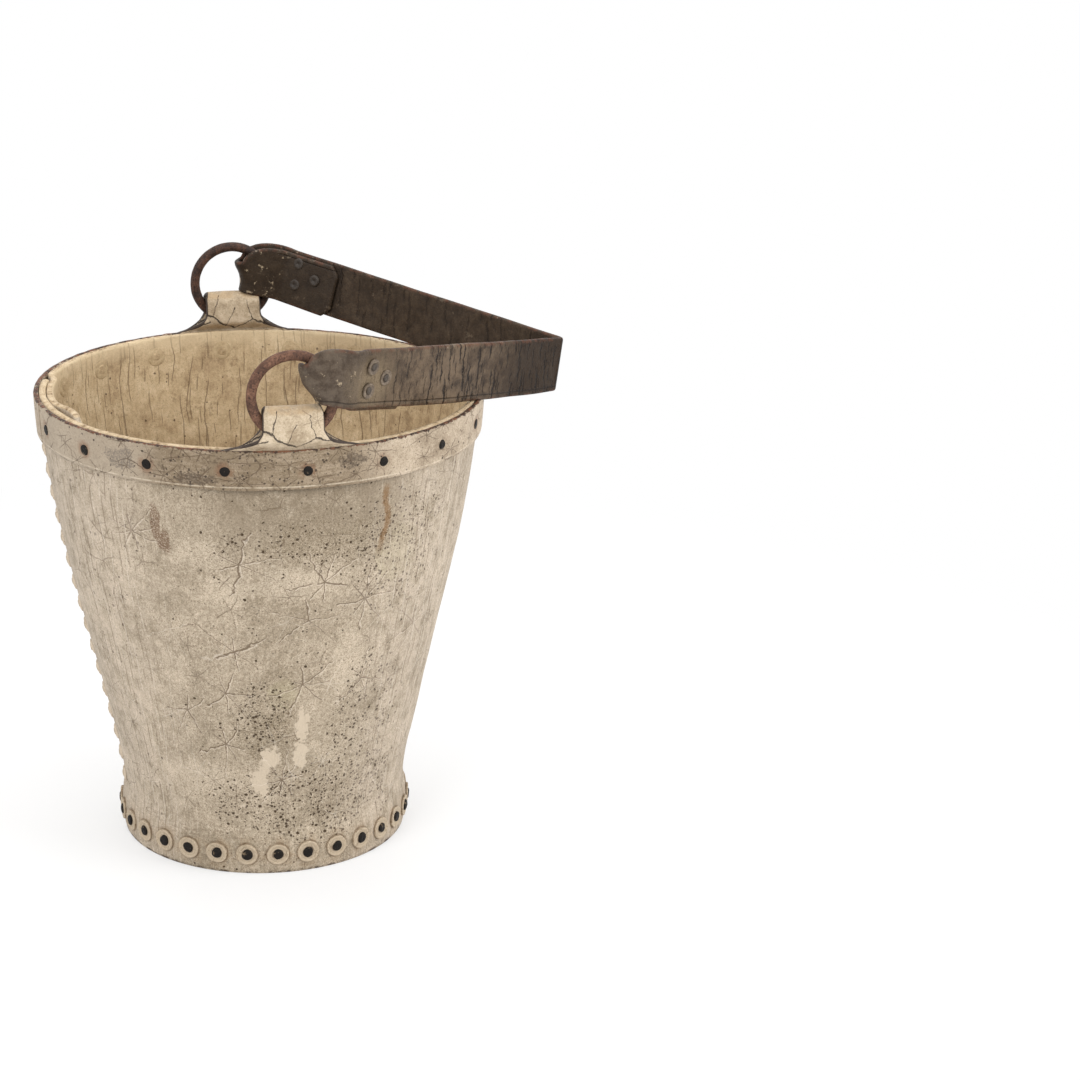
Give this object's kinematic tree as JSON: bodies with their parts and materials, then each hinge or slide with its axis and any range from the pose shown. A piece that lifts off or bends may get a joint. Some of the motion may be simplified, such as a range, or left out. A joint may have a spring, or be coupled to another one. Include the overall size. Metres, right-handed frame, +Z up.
{
  "type": "fire bucket",
  "caption": "Riveted leather fire bucket: tapered body, turned-down base, rim band, two tabs with iron rings and a creased leather strap handle.",
  "frame": {"origin": "centre of the standing edge, on the floor", "axes": "+Z up; the two tabs and rings lie on -Y (front) and +Y (back); the side seam faces -X; the handle rests towards +X"},
  "size_m": [0.3472, 0.2994, 0.3704],
  "materials": {
    "painted_body": "aged oil paint over leather, finely cracked, greyed cream",
    "painted_band": "aged oil paint over leather, yellowed cream, chipped along the top edge",
    "painted_tab": "aged oil paint over leather, cracked, edges bare",
    "base_leather": "worn vegetable-tanned leather, stained",
    "ring_iron": "wrought iron, rusted brown",
    "strap_leather": "old black-brown harness leather, cracked, edges worn red",
    "rivet_metal": "hammered rivet ends, near black",
    "painted_rove": "metal washers under cracked cream paint",
    "strap_rivet": "dark brown oxidised rivets and washers"
  },
  "bodies": {
    "bucket": {"body_sheet": "painted_body", "base_disc": "base_leather", "rim_band": "painted_band", "front_tab": "painted_tab", "back_tab": "painted_tab", "rim_rivets": "rivet_metal", "front_tab_rivets": "rivet_metal", "back_tab_rivets": "rivet_metal", "rim_roves": "painted_rove", "base_rivets": "rivet_metal", "base_roves": "painted_rove", "seam_rivets": "rivet_metal", "seam_roves": "painted_rove"},
    "handle": {"handle_strap": "strap_leather", "front_strap_rivets": "strap_rivet", "front_strap_roves": "strap_rivet", "back_strap_rivets": "strap_rivet", "back_strap_roves": "strap_rivet"},
    "ring_front": {"front_ring": "ring_iron"},
    "ring_back": {"back_ring": "ring_iron"}
  },
  "joints": [
    {"name": "handle_swing", "type": "hinge", "parent": "bucket", "child": "handle", "pos_m": [0, 0, 0.3365], "axis": [0, -1, 0], "range_deg": [0, 120]},
    {"name": "front_ring_turn", "type": "hinge", "parent": "bucket", "child": "ring_front", "pos_m": [0, -0.1418, 0.3365], "axis": [0, -1, 0], "continuous": true},
    {"name": "back_ring_turn", "type": "hinge", "parent": "bucket", "child": "ring_back", "pos_m": [0, 0.1418, 0.3365], "axis": [0, -1, 0], "continuous": true}
  ]
}
